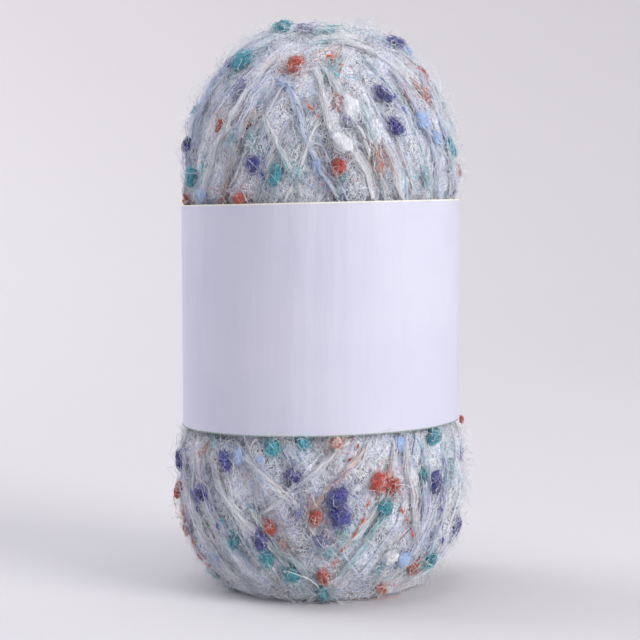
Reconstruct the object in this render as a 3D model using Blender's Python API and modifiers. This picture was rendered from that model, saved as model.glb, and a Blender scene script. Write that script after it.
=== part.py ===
"""A machine-wound ball of soft brushed yarn, standing on end, with a blank paper band.

The ball is one solid: a turned outline whose points are drawn in between the bundles
of strands that cross over it. The band is a thin sleeve round the ball's waist.
Metres, +Z up, origin under the middle of the flat spot that the ball stands on.
The front of the ball faces -Y. Azimuths are measured from the front towards +X.
"""

import math
import random

import bmesh
import bpy
import numpy as np
from mathutils.kdtree import KDTree

MM = 0.001

# Points closer than this count as one
MERGE_DISTANCE = 0.01 * MM

# Paper band, and the gap that keeps it clear of the yarn
BAND_LOW = 46.0 * MM
BAND_HIGH = 107.0 * MM
BAND_RADIUS = 38.4 * MM
BAND_THICKNESS = 1.0 * MM
BAND_CLEARANCE = 0.5 * MM
BAND_STEPS = 64
BAND_ROWS = 6
BAND_SWELL = 0.3 * MM
BAND_SWELLS = 3
BAND_SHARP_ANGLE = 50.0

# The band, and the yarn that it grips, sit a little askew: the rise for each metre towards +X,
# and the heights between which the yarn above and below comes to share it.
SKEW = 0.0227
SKEW_FOOT = (18.0 * MM, 42.0 * MM)
SKEW_CROWN = (111.0 * MM, 140.0 * MM)

# Ball
FLAT_RADIUS = 25.0 * MM
WAIST_RADIUS = BAND_RADIUS - BAND_THICKNESS - BAND_CLEARANCE
BALL_STEPS = 96
RING_PITCH = 2.5 * MM
HIDDEN_RING_PITCH = 9.0 * MM
SAMPLE_PITCH = 0.4 * MM

# Outline over the crests of the strands: height and radius in mm
CROWN = (
    (152.6, 0.0),
    (153.6, 4.0),
    (156.3, 7.6),
    (157.3, 10.4),
    (155.2, 16.4),
    (150.6, 23.6),
    (144.4, 29.4),
    (137.0, 33.9),
    (129.0, 36.6),
    (119.0, 38.1),
    (111.4, 38.4),
    (108.7, 37.8),
    (107.4, WAIST_RADIUS / MM),
)
FOOT = (
    (46.2, WAIST_RADIUS / MM),
    (45.0, 37.9),
    (42.6, 39.4),
    (35.0, 40.2),
    (26.0, 40.3),
    (17.0, 39.0),
    (10.0, 36.6),
    (4.6, 32.9),
    (1.3, 28.9),
    (0.0, FLAT_RADIUS / MM),
)

# Bundles of strands. Each turns back over one end of the ball, at its turning radius from the
# axis and on the side that its azimuth gives, and its two legs run along the ball from there.
BUNDLE_WIDTH = 11.5 * MM
GROOVE_DEPTH = 3.0 * MM
HIDDEN_DEPTH = 1.0 * MM
HIDDEN_MARGIN = 2.0 * MM
FLAT_FADE = 8.0 * MM
RIM_DEPTH_SHARE = 0.3
# From the first laid to the last: the end it turns at, bundles, first azimuth and step in degrees,
# turning radius in mm, and how high its crest lies above and below the band, from 0 to 1
LAYERS = (
    ("crown", 15, 0.0, 24.0, 9.0, 0.35, 0.35),
    ("crown", 10, -81.0, 18.0, 16.0, 1.00, 0.30),
    ("foot", 10, -81.0, 18.0, 16.0, 0.30, 1.00),
)
LEAST_SHARE = 0.2
AZIMUTH_SCATTER = 3.5
RADIUS_SCATTER = 3.0
SEED = 7
# A stretch of the outline that slopes less than this counts as level with the axis
LEVEL_SLOPE = 0.001

YARN_COLOUR = (0.36, 0.37, 0.45, 1.0)
YARN_ROUGHNESS = 0.95
PAPER_COLOUR = (0.78, 0.77, 0.86, 1.0)
PAPER_ROUGHNESS = 0.6


def clear_scene():
    for thing in list(bpy.data.objects):
        bpy.data.objects.remove(thing, do_unlink=True)


def new_material(name, colour, roughness):
    made = bpy.data.materials.new(name)
    made.use_nodes = True
    shader = made.node_tree.nodes["Principled BSDF"]
    shader.inputs["Base Color"].default_value = colour
    shader.inputs["Roughness"].default_value = roughness
    shader.inputs["Metallic"].default_value = 0.0
    made.diffuse_color = colour
    return made


def ramp(value, low, high):
    """A smooth rise from 0 at low to 1 at high."""
    share = np.clip((value - low) / (high - low), 0.0, 1.0)
    return share * share * (3.0 - 2.0 * share)


def skewed(points):
    """The points, raised where they follow the band's tilt."""
    height = points[:, 2]
    follows = ramp(height, *SKEW_FOOT) * (1.0 - ramp(height, *SKEW_CROWN))
    moved = points.copy()
    moved[:, 2] += SKEW * points[:, 0] * follows
    return moved


def between(p, q, t, start, end):
    return ((end - t) * p + (t - start) * q) / (end - start)


def smooth_line(table):
    """Close samples of the centripetal Catmull-Rom curve through a table's points."""
    given = [np.array(row) * MM for row in table]
    points = [2 * given[0] - given[1]] + given + [2 * given[-1] - given[-2]]
    line = []
    for a, b, c, d in zip(points, points[1:], points[2:], points[3:]):
        k = np.cumsum([0.0] + [math.sqrt(np.linalg.norm(q - p)) for p, q in ((a, b), (b, c), (c, d))])
        count = max(2, round(np.linalg.norm(c - b) / SAMPLE_PITCH))
        for t in np.linspace(k[1], k[2], count, endpoint=False):
            ab = between(a, b, t, k[0], k[1])
            bc = between(b, c, t, k[1], k[2])
            cd = between(c, d, t, k[2], k[3])
            abc = between(ab, bc, t, k[0], k[2])
            bcd = between(bc, cd, t, k[1], k[3])
            line.append(between(abc, bcd, t, k[1], k[2]))
    line.append(given[-1])
    return np.array(line)


def straight_line(start, end):
    count = round(np.linalg.norm(end - start) / SAMPLE_PITCH)
    return np.linspace(start, end, count + 1)


def ball_outline():
    """Close samples of the outline, from the pole of the crown down to the middle of the flat spot."""
    crown = smooth_line(CROWN)
    foot = smooth_line(FOOT)
    waist = straight_line(crown[-1], foot[0])
    flat = straight_line(foot[-1], np.zeros(2))
    line = np.concatenate([crown, waist[1:-1], foot, flat[1:]])
    line[0, 1] = 0.0
    return np.maximum(line, 0.0)


def ring_samples(line):
    """The samples that become rings of the mesh, sparse where the band covers the yarn."""
    chosen = [line[0]]
    walked = 0.0
    for before, point in zip(line, line[1:]):
        if point[0] <= 0.0:
            break
        walked += np.linalg.norm(point - before)
        covered = BAND_LOW + HIDDEN_MARGIN < point[0] < BAND_HIGH - HIDDEN_MARGIN
        if walked >= (HIDDEN_RING_PITCH if covered else RING_PITCH):
            chosen.append(point)
            walked = 0.0
    return chosen + [np.array([0.0, FLAT_RADIUS]), np.zeros(2)]


def turned(name, samples, steps):
    """A Screw of the samples (height, radius), which run down the outer side."""
    mesh = bpy.data.meshes.new(name + "_profile")
    bm = bmesh.new()
    verts = [bm.verts.new((radius, 0.0, height)) for height, radius in samples]
    for first, second in zip(verts, verts[1:]):
        bm.edges.new((first, second))
    bm.to_mesh(mesh)
    bm.free()
    made = bpy.data.objects.new(name, mesh)
    screw = made.modifiers.new("turn", "SCREW")
    screw.axis = "Z"
    screw.angle = math.tau
    screw.steps = steps
    screw.render_steps = steps
    screw.use_merge_vertices = True
    screw.merge_threshold = MERGE_DISTANCE
    screw.use_smooth_shade = True
    return made


def applied(made):
    """The object with its modifiers made part of its mesh."""
    bpy.context.scene.collection.objects.link(made)
    bpy.context.view_layer.update()
    seen = made.evaluated_get(bpy.context.evaluated_depsgraph_get())
    mesh = bpy.data.meshes.new_from_object(seen)
    made.modifiers.clear()
    made.data = mesh
    bpy.context.scene.collection.objects.unlink(made)
    return made


def read_points(mesh, field="co"):
    flat = np.empty(len(mesh.vertices) * 3)
    mesh.vertices.foreach_get(field, flat)
    return flat.reshape(-1, 3)


def write_points(mesh, points):
    mesh.vertices.foreach_set("co", points.ravel())
    mesh.update()


def split_along_folds(mesh):
    """Triangles whose diagonals run along the bundles, where a quad's shorter diagonal lies."""
    bm = bmesh.new()
    bm.from_mesh(mesh)
    bmesh.ops.triangulate(bm, faces=bm.faces[:], quad_method="SHORT_EDGE")
    bm.to_mesh(mesh)
    bm.free()


def bundle_line(outline, radius, azimuth):
    """Points along one bundle, the shortest way over the turned outline.

    The outline starts at the end where the bundle turns. On a turned surface such a line keeps
    the product of its distance from the axis and the sine of its angle to the outline.
    """
    inside = outline[outline[:, 1] > radius]
    reach = inside[:, 1]
    step = np.linalg.norm(np.diff(inside, axis=0), axis=1)
    change = np.diff(reach)
    level = np.abs(change) < step * LEVEL_SLOPE
    swing = np.arccos(radius / reach)
    middle = (reach[1:] + reach[:-1]) / 2
    along_level = radius * step / (middle * np.sqrt(middle**2 - radius**2))
    along_cone = np.diff(swing) * step / np.where(level, 1.0, change)
    turn = np.cumsum(np.concatenate([[swing[0]], np.where(level, along_level, np.abs(along_cone))]))
    sides = []
    for way in (-1, 1):
        angle = math.radians(azimuth) + way * turn
        sides.append(np.column_stack([reach * np.sin(angle), -reach * np.cos(angle), inside[:, 0]]))
    return np.concatenate(sides)


def crest_share(points, outline):
    """For each point, how close it lies to the crests of the bundles over it, from 0 to 1."""
    scatter = random.Random(SEED)
    above = ramp(points[:, 2], BAND_LOW, BAND_HIGH)
    share = np.full(len(points), LEAST_SHARE)
    for end, count, first, step, radius, lift_above, lift_below in LAYERS:
        course = outline if end == "crown" else outline[::-1]
        lift = lift_below + (lift_above - lift_below) * above
        for k in range(count):
            azimuth = first + k * step + scatter.uniform(-AZIMUTH_SCATTER, AZIMUTH_SCATTER)
            turn_radius = radius + scatter.uniform(-RADIUS_SCATTER, RADIUS_SCATTER)
            line = bundle_line(course, turn_radius * MM, azimuth)
            tree = KDTree(len(line))
            for i, place in enumerate(line):
                tree.insert(place, i)
            tree.balance()
            away = np.array([tree.find(p)[2] for p in points])
            across = np.clip(1.0 - (2.0 * away / BUNDLE_WIDTH) ** 2, 0.0, 1.0)
            share = np.maximum(share, lift * across)
    return share


def make_ball(collection):
    outline = ball_outline()
    ball = applied(turned("yarn_ball", ring_samples(outline), BALL_STEPS))
    points = read_points(ball.data)
    outward = read_points(ball.data, "normal")
    height = points[:, 2]
    reach = np.hypot(points[:, 0], points[:, 1])
    covered = ramp(height, BAND_LOW - HIDDEN_MARGIN, BAND_LOW)
    covered *= 1.0 - ramp(height, BAND_HIGH, BAND_HIGH + HIDDEN_MARGIN)
    depth = GROOVE_DEPTH + (HIDDEN_DEPTH - GROOVE_DEPTH) * covered
    on_flat = (height < SAMPLE_PITCH) & (reach < FLAT_RADIUS + MERGE_DISTANCE)
    near_rim = RIM_DEPTH_SHARE + (1.0 - RIM_DEPTH_SHARE) * ramp(height, 0.0, FLAT_FADE)
    depth *= np.where(on_flat, 0.0, near_rim)
    inset = depth * (1.0 - crest_share(points, outline))
    write_points(ball.data, skewed(points - outward * inset[:, None]))
    split_along_folds(ball.data)
    ball.data.materials.append(new_material("yarn", YARN_COLOUR, YARN_ROUGHNESS))
    collection.objects.link(ball)


def make_band(collection):
    rows = np.linspace(BAND_HIGH, BAND_LOW, BAND_ROWS + 1)
    band = turned("ball_band", [(row, BAND_RADIUS) for row in rows], BAND_STEPS)
    wall = band.modifiers.new("wall", "SOLIDIFY")
    wall.thickness = BAND_THICKNESS
    wall.offset = -1.0
    wall.use_even_offset = True
    applied(band)
    points = read_points(band.data)
    angle = np.arctan2(points[:, 0], -points[:, 1])
    swell = BAND_SWELL * (1.0 + np.cos(BAND_SWELLS * angle)) / 2
    reach = np.hypot(points[:, 0], points[:, 1])
    points[:, :2] *= (1.0 + swell / reach)[:, None]
    write_points(band.data, skewed(points))
    band.data.set_sharp_from_angle(angle=math.radians(BAND_SHARP_ANGLE))
    band.data.materials.append(new_material("paper", PAPER_COLOUR, PAPER_ROUGHNESS))
    collection.objects.link(band)


def main():
    clear_scene()
    collection = bpy.data.collections.new("dot_yarn_ball")
    bpy.context.scene.collection.children.link(collection)
    make_ball(collection)
    make_band(collection)


main()
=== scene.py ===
"""The looks of a machine-wound ball of brushed dot yarn, standing on end in a blank paper band."""

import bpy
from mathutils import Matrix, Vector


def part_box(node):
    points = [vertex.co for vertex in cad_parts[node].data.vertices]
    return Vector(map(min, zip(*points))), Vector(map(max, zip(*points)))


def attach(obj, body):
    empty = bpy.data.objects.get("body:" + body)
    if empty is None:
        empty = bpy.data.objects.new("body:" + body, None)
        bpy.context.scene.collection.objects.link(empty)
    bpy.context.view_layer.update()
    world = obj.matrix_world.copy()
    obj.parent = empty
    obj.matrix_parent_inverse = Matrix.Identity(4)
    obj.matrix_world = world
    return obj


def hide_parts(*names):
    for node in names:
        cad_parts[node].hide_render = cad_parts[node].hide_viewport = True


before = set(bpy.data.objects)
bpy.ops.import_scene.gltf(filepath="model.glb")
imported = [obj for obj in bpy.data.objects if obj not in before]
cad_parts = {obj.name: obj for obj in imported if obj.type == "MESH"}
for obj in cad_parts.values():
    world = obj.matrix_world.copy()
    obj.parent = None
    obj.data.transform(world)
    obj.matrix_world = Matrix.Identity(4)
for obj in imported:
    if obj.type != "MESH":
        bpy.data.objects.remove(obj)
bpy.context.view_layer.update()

import math
import random

import bmesh
import bpy
import numpy as np
from mathutils import Vector
from mathutils.bvhtree import BVHTree
from mathutils.kdtree import KDTree

MM = 0.001

# Camera, as the photograph was taken, and the photograph's own frame
PICTURE_SIDE = 640
SENSOR = 36.0
LENS = 106.9
CAMERA_PLACE = (0.0, -0.530, 0.107)
CAMERA_PITCH = math.radians(3.55)

# The band, as its solid has it, and its real thickness
BAND_RADIUS = 38.4 * MM
BAND_FOOT = 46.0 * MM
BAND_TOP = 107.0 * MM
PAPER = 0.30 * MM
# How far it rises for each metre towards +X, and the heights between which the ball follows that
SKEW = 0.0227
SKEW_FOOT = (18.0 * MM, 42.0 * MM)
SKEW_CROWN = (111.0 * MM, 140.0 * MM)

# The bundles of strands, as the solid has them
BUNDLE_WIDTH = 11.5 * MM
GROOVE_DEPTH = 3.0 * MM
# The end it turns at, bundles, first azimuth and step in degrees, turning radius in mm,
# and how high its crest lies above and below the band, from 0 to 1
LAYERS = (
    ("crown", 15, 0.0, 24.0, 9.0, 0.35, 0.35),
    ("crown", 10, -81.0, 18.0, 16.0, 1.00, 0.30),
    ("foot", 10, -81.0, 18.0, 16.0, 0.30, 1.00),
)
AZIMUTH_SCATTER = 3.5
RADIUS_SCATTER = 3.0
BUNDLE_SEED = 7

# How far inside the solid's outline the yarn lies everywhere, how much more on the left than on the
# right, and how much more at the crown and at the foot, growing between these heights
EVEN_SINK = 1.1 * MM
SIDE_SINK = 0.4 * MM
CROWN_SINK = 1.3 * MM
FOOT_SINK = 0.8 * MM
SINKING_CROWN = (125.0 * MM, 155.0 * MM)
SINKING_FOOT = (6.0 * MM, 26.0 * MM)

# Strands
STRAND_OFFSETS = (-3.7 * MM, 0.0, 3.7 * MM)
STRAND_PITCH = 2.8 * MM
STRAND_SIDES = 5
STRAND_LIFT = 0.40 * MM
STRAND_LOWEST = 0.9 * MM
# How far a strand wanders sideways and up and down, and over what length
STRAND_SWAY = (0.7 * MM, 26.0 * MM)
STRAND_RISE = (0.25 * MM, 14.0 * MM)
# The fewest points of a run of strand that shows
SHORTEST_RUN = 6
# How far a strand goes on under the band
TUCK = 5.0 * MM
# How often a strand is of each kind where the camera sees it and elsewhere, its thickness, and how
# many fibres it gets for its length beside the others
STRAND_KINDS = ("bright", "thin", "bare")
KIND_SHARES = {True: (0.05, 0.40, 0.55), False: (0.16, 0.36, 0.48)}
KIND_RADII = {"bright": 0.50 * MM, "thin": 0.32 * MM, "bare": 0.0}
KIND_FIBRES = {"seen": 10.0, "bright": 2.4, "thin": 1.1, "bare": 0.8}
STRAND_HUES = ["white"] * 14 + ["pearl"] * 3 + ["mist_blue"] * 3 + ["mist_teal"] * 2 + ["mist_peach"]

# Strands that stand out in the photograph: colour, thickness in mm, and points in its frame
SEEN_STRANDS = (
    ("white", 0.80, ((317, 58), (326, 73), (339, 95), (349, 112), (362, 130), (368, 152), (374, 176))),
    ("white", 0.72, ((308, 60), (320, 84), (326, 118), (335, 137), (345, 147), (360, 166), (372, 203))),
    ("mist_blue", 0.66, ((286, 76), (301, 118), (307, 147), (316, 166), (328, 183), (342, 206))),
    ("white", 0.48, ((262, 108), (278, 143), (290, 166), (304, 200))),
    ("mist_blue", 0.66, ((382, 58), (406, 95), (419, 118), (429, 137), (433, 172), (434, 204))),
    ("white", 0.66, ((322, 40), (349, 47), (370, 52), (388, 64))),
    ("white", 0.60, ((300, 46), (318, 44), (344, 40), (372, 44))),
    ("white", 0.62, ((284, 50), (262, 76), (238, 112), (220, 147), (210, 180), (206, 206))),
    ("pearl", 0.55, ((278, 66), (258, 96), (240, 130), (228, 170), (222, 204))),
    ("mist_peach", 0.42, ((262, 92), (246, 124), (234, 160), (224, 204))),
    ("mist_teal", 0.50, ((352, 92), (366, 118), (373, 137), (380, 168), (384, 206))),
    ("white", 0.55, ((376, 128), (388, 152), (396, 180), (402, 206))),
    ("pearl", 0.50, ((408, 60), (428, 96), (442, 136), (450, 176), (453, 204))),
    ("mist_blue", 0.48, ((232, 60), (212, 92), (198, 132), (190, 170), (187, 202))),
    ("white", 0.60, ((213, 436), (223, 483), (238, 511), (259, 536), (290, 567), (311, 588))),
    ("mist_teal", 0.55, ((240, 490), (254, 514), (272, 537), (297, 560), (318, 584))),
    ("white", 0.62, ((184, 438), (191, 489), (202, 521), (215, 546), (232, 570), (252, 586))),
    ("pearl", 0.50, ((200, 446), (210, 492), (224, 526), (244, 556), (268, 580))),
    ("mist_teal", 0.58, ((396, 486), (381, 521), (366, 540), (349, 561), (326, 584))),
    ("white", 0.66, ((404, 436), (408, 483), (412, 515), (414, 546), (402, 574))),
    ("white", 0.52, ((352, 440), (332, 458), (311, 475), (280, 500), (256, 522))),
    ("mist_peach", 0.50, ((366, 446), (340, 478), (316, 506), (292, 534))),
    ("white", 0.55, ((392, 440), (388, 466), (380, 496), (362, 524), (340, 552))),
    ("pearl", 0.55, ((420, 440), (424, 480), (422, 516), (410, 548), (386, 576))),
    ("mist_blue", 0.50, ((440, 440), (442, 480), (438, 516), (428, 548), (414, 568))),
    ("white", 0.50, ((236, 440), (262, 470), (288, 500), (312, 528), (330, 556))),
)
SEEN_LIFT = 1.0 * MM
SEEN_SWAY = (0.18 * MM, 7.0 * MM)
SEEN_RISE = (0.25 * MM, 8.0 * MM)
# The share of its thickness that a strand's core has, under its fibres
SEEN_CORE = 0.8
# Its ends dive under the others: over this length, this deep, this much thinner at the most,
# and growing over this stretch from the band's edge
SEEN_DIVE = 7.0 * MM
DIVE_DEPTH = 2.0 * MM
DIVE_THINNING = 0.4
DIVE_FROM_BAND = (3.0 * MM, 9.0 * MM)

# Thin coloured threads that show in the photograph, thicker in short dashes: colour and points
SEEN_THREADS = (
    ("orange", ((374, 478), (371, 490), (366, 505), (361, 518), (354, 532), (345, 544), (336, 556),
                (331, 570))),
    ("orange", ((398, 504), (405, 521), (413, 538), (415, 555), (409, 567))),
    ("orange", ((187, 502), (186, 525), (194, 544), (201, 558), (213, 564))),
    ("orange", ((326, 57), (333, 61), (343, 68))),
    ("orange", ((306, 100), (314, 111), (321, 119))),
    ("orange", ((423, 83), (424, 94), (423, 108))),
    ("rust", ((253, 122), (243, 140), (234, 158), (228, 176), (224, 196))),
    ("rust", ((376, 156), (379, 176), (381, 196))),
    ("rust", ((214, 444), (220, 462), (228, 482))),
    ("rust", ((358, 444), (350, 458), (342, 470))),
    ("navy", ((190, 478), (198, 506), (204, 524), (211, 540))),
    ("navy", ((208, 490), (218, 520), (224, 536))),
    ("navy", ((435, 492), (438, 510), (440, 526), (440, 544))),
    ("navy", ((386, 88), (395, 102), (404, 118))),
    ("navy", ((256, 160), (264, 176), (270, 192))),
    ("navy", ((452, 508), (460, 502))),
    ("teal", ((368, 540), (358, 556), (344, 570))),
    ("teal", ((222, 516), (232, 530), (242, 546))),
    ("teal", ((328, 62), (336, 78), (343, 90))),
    ("teal", ((348, 98), (358, 110))),
    ("teal", ((208, 152), (204, 172), (205, 190))),
)
DASH_PITCH = 4.6 * MM
LOOSE_LOOP = ((283, 575), (286, 568), (294, 565), (304, 567), (313, 573), (320, 581))
# Other threads, as many as this, wound round strands at this pitch
WOUND_COUNT = 36
WOUND_PITCH = 5.5 * MM
WOUND_HUES = ["orange", "teal", "navy", "rust", "deep_teal", "navy"]

# Fibres
FIBRE_SIDES = 3
FIBRE_STEPS = 7
FRIZZ_COUNT = 2900
STREAK_COUNT = 4700
STREAK_PITCH = 1.4 * MM
STREAK_SPREAD = 0.38 * MM
HALO_COUNT = 8600
FIBRE_RADII = (0.05 * MM, 0.09 * MM)
HALO_HUES = ["white"] * 5 + ["pearl", "mist_blue"]
FRIZZ_HUES = (
    ["white"] * 20 + ["pearl"] * 6 + ["grey"] * 2 + ["dark"]
    + ["mist_blue"] * 2 + ["mist_teal"] + ["mist_peach"]
)
# Fibres nearer than this to a crisp nub mostly take its colour, and others fewer with the distance
CRISP_REACH = 2.6 * MM
TINT_REACH = 3.2 * MM
# How often a fibre takes on a nub's colour by a crisp nub and by another, and how often in full
TINT_CHANCES = {True: 0.9, False: 0.65}
FULL_TINT_CHANCES = {True: 0.55, False: 0.3}
# Curls and loose hairs on a nub that shows in the photograph, and on another
CURL_COUNTS = (36, 16)
HAIR_COUNTS = (12, 6)
# How many curls of a faint nub and of another have its colour, its second shade, its mist and white,
# and how many hairs its colour, its mist and white
CURL_SHARES = {True: (0.22, 0.08, 0.40, 0.30), False: (0.50, 0.32, 0.12, 0.06)}
HAIR_SHARES = (0.22, 0.33, 0.45)
# The lowest that a fibre's middle line comes, and how near the solid's loose corners are welded
LOWEST = 0.25 * MM
WELD = 0.01 * MM

# Colours of fibre, by name, as they look in plain light: red, green, blue from 0 to 255
FIBRE_COLOURS = {
    "white": (249, 251, 255),
    "pearl": (226, 232, 252),
    "grey": (160, 162, 174),
    "dark": (92, 94, 106),
    "mist_teal": (206, 234, 240),
    "mist_peach": (244, 222, 214),
    "mist_blue": (222, 232, 253),
    "mist_navy": (178, 182, 216),
    "teal": (74, 202, 216),
    "deep_teal": (30, 118, 142),
    "orange": (236, 102, 58),
    "rust": (152, 58, 38),
    "navy": (82, 90, 194),
    "ink": (36, 38, 102),
    "sky": (182, 211, 255),
    "pale_sky": (222, 234, 255),
}
NUMBERS = {name: number for number, name in enumerate(FIBRE_COLOURS)}
# A nub's colour: its second shade, and the mist that its strand takes on
SHADES = {
    "teal": ("deep_teal", "mist_teal"),
    "orange": ("rust", "mist_peach"),
    "navy": ("ink", "mist_navy"),
    "sky": ("pale_sky", "mist_blue"),
    "white": ("pearl", "white"),
}
# Nubs of these colours are smooth puffs, the others are knotted
SMOOTH_NUBS = ("white", "sky")
# How much of its size a nub's body fills, where it is faint and where it isn't
NUB_BODIES = {True: 0.60, False: 0.77}
# The length of the lumps on a nub, as waves round a ball of radius 1
NUB_LUMPS = (2.5, 4.0, 6.0, 9.0, 14.0)

# Nubs that show in the photograph: place in its frame, colour, and length and width in mm
FRONT_NUBS = (
    (284, 32, "teal", 7.0, 4.4),
    (328, 35, "faint teal", 6.5, 3.4),
    (245, 63, "teal", 8.0, 5.6),
    (333, 72, "faint teal", 9.0, 2.4),
    (235, 137, "faint teal", 6.0, 3.4),
    (446, 149, "teal", 7.5, 3.4),
    (197, 177, "teal", 6.5, 4.6),
    (279, 177, "teal", 6.5, 4.4),
    (297, 173, "faint teal", 5.5, 4.0),
    (345, 175, "faint teal", 5.0, 3.0),
    (423, 179, "faint teal", 7.0, 3.6),
    (255, 140, "faint teal", 5.0, 3.0),
    (308, 32, "faint navy", 6.5, 3.2),
    (234, 65, "faint navy", 5.0, 3.2),
    (393, 46, "navy", 6.5, 4.0),
    (383, 97, "navy", 6.5, 4.2),
    (394, 129, "navy", 6.0, 4.6),
    (241, 91, "faint navy", 6.5, 3.8),
    (191, 146, "navy", 5.5, 3.4),
    (255, 164, "navy", 5.5, 4.6),
    (345, 124, "faint navy", 5.0, 3.6),
    (296, 67, "orange", 6.0, 4.6),
    (335, 61, "faint orange", 8.5, 2.2),
    (418, 76, "orange", 5.5, 3.4),
    (225, 128, "orange", 5.5, 3.4),
    (336, 103, "faint orange", 6.0, 2.6),
    (191, 198, "orange", 5.0, 3.4),
    (243, 198, "orange", 5.0, 4.0),
    (225, 198, "faint orange", 5.5, 2.6),
    (341, 166, "orange", 5.0, 4.4),
    (378, 166, "faint orange", 7.5, 3.4),
    (419, 92, "faint orange", 9.0, 2.4),
    (405, 53, "sky", 5.5, 4.2),
    (420, 120, "sky", 6.0, 4.4),
    (434, 137, "faint sky", 6.5, 3.8),
    (205, 105, "faint sky", 6.5, 3.4),
    (206, 194, "sky", 6.5, 4.0),
    (316, 166, "faint sky", 7.5, 4.0),
    (284, 84, "faint sky", 6.5, 3.4),
    (352, 112, "white", 9.0, 6.4),
    (341, 143, "white", 9.0, 5.8),
    (185, 460, "navy", 7.0, 3.6),
    (205, 492, "navy", 6.0, 4.6),
    (227, 462, "navy", 7.0, 3.4),
    (297, 475, "navy", 5.0, 4.0),
    (338, 496, "navy", 7.0, 6.4),
    (339, 515, "navy", 7.0, 6.6),
    (297, 515, "faint navy", 5.0, 4.2),
    (432, 483, "navy", 7.5, 4.2),
    (453, 523, "navy", 6.5, 3.2),
    (193, 523, "faint navy", 6.0, 3.2),
    (261, 539, "navy", 6.5, 4.2),
    (320, 540, "faint navy", 7.0, 4.2),
    (182, 490, "orange", 6.0, 3.0),
    (207, 449, "faint orange", 6.0, 2.6),
    (336, 445, "faint orange", 6.0, 4.8),
    (376, 481, "orange", 6.0, 5.6),
    (390, 483, "orange", 6.0, 4.4),
    (318, 516, "orange", 5.0, 4.4),
    (272, 525, "orange", 5.0, 4.2),
    (187, 526, "orange", 6.0, 3.0),
    (324, 574, "orange", 6.5, 3.6),
    (379, 588, "orange", 6.0, 2.8),
    (411, 564, "orange", 6.0, 3.6),
    (284, 542, "faint orange", 4.5, 3.0),
    (273, 450, "teal", 6.0, 4.8),
    (301, 445, "teal", 5.0, 4.4),
    (219, 443, "faint teal", 5.5, 3.0),
    (430, 437, "teal", 6.0, 4.6),
    (385, 508, "teal", 5.5, 5.2),
    (422, 473, "teal", 6.0, 3.2),
    (447, 468, "faint teal", 6.0, 3.2),
    (239, 540, "teal", 6.5, 4.0),
    (267, 557, "teal", 6.0, 4.0),
    (216, 571, "faint teal", 5.0, 3.0),
    (326, 551, "faint teal", 5.0, 4.0),
    (344, 532, "faint teal", 5.0, 3.8),
    (294, 573, "teal", 6.0, 5.0),
    (322, 590, "teal", 6.5, 3.6),
    (428, 559, "teal", 6.0, 3.2),
    (378, 567, "faint teal", 4.5, 3.6),
    (241, 456, "sky", 6.5, 3.8),
    (398, 444, "sky", 6.0, 4.2),
    (218, 555, "faint sky", 6.5, 4.0),
    (402, 557, "sky", 5.5, 4.4),
    (420, 542, "faint sky", 6.5, 3.8),
    (263, 460, "faint sky", 5.0, 3.4),
    (388, 555, "white", 7.0, 5.6),
)
# The small nub beside the band's lower edge: place, outward direction and direction of its strand
BESIDE_BAND = np.array([(39.2 * MM, 1.0 * MM, 46.2 * MM), (1.0, 0.0, 0.0), (0.0, 0.2, 0.98)])
# Where the camera doesn't see them, nubs are put at random: no nearer than this to each other, to the
# band, to the floor and to the axis
NUB_TRIES = 1000
NUB_DISTANCE = 7.4 * MM
NUB_FROM_BAND = 2.0 * MM
NUB_FROM_FLOOR = 4.0 * MM
NUB_FROM_AXIS = 9.0 * MM
HIDDEN_COLOURS = ("teal", "navy", "orange", "sky", "teal", "navy", "orange", "white")


def light(red, green, blue):
    """A colour in linear light from its 0 to 255 values."""
    shown = np.array([red, green, blue]) / 255.0
    return tuple(np.where(shown <= 0.04045, shown / 12.92, ((shown + 0.055) / 1.055) ** 2.4))


def ramp(value, low, high):
    """A smooth rise from 0 at low to 1 at high."""
    share = np.clip((value - low) / (high - low), 0.0, 1.0)
    return share * share * (3.0 - 2.0 * share)


def unit(vectors):
    """The vectors at a length of 1."""
    return vectors / np.maximum(np.linalg.norm(vectors, axis=-1, keepdims=True), 1e-12)


def skewed(points):
    """The points, raised where they follow the band's tilt."""
    follows = ramp(points[..., 2], *SKEW_FOOT) * (1.0 - ramp(points[..., 2], *SKEW_CROWN))
    moved = points.copy()
    moved[..., 2] += SKEW * points[..., 0] * follows
    return moved


def placed(height, reach, azimuth):
    """Points at this height and distance from the axis. Azimuth goes from the front towards +X."""
    return skewed(np.stack([reach * np.sin(azimuth), -reach * np.cos(azimuth), height], axis=-1))


def band_height(points):
    """Height of the points, less what the band's tilt adds there."""
    return points[..., 2] - SKEW * points[..., 0]


def sideways(line, outward):
    """The direction along the ball and square to the line, at each of its points."""
    return unit(np.cross(outward, np.gradient(line, axis=-2)))


def off_floor(line, least=LOWEST):
    """Raises what lies lower than this."""
    line[..., 2] = np.maximum(line[..., 2], least)


def sunk_by(points):
    """How far inside the solid's outline the yarn lies at these points, for its frizz to fill."""
    crown = CROWN_SINK * ramp(points[..., 2], *SINKING_CROWN)
    foot = FOOT_SINK * (1.0 - ramp(points[..., 2], *SINKING_FOOT))
    return EVEN_SINK - SIDE_SINK * points[..., 0] / BAND_RADIUS + crown + foot


# Shader nodes

def new_material(name, roughness, sheen=0.0):
    """A material, its node tree and its shader."""
    made = bpy.data.materials.new(name)
    made.use_nodes = True
    tree = made.node_tree
    shader = tree.nodes["Principled BSDF"]
    shader.inputs["Roughness"].default_value = roughness
    shader.inputs["Sheen Weight"].default_value = sheen
    return made, tree, shader


def node(tree, kind, given=None, **settings):
    """A new node. Given holds the socket or the value that each of its inputs takes."""
    made = tree.nodes.new(kind)
    for key, value in settings.items():
        setattr(made, key, value)
    for key, value in (given or {}).items():
        if isinstance(value, bpy.types.NodeSocket):
            tree.links.new(value, made.inputs[key])
        else:
            made.inputs[key].default_value = value
    return made


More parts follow.
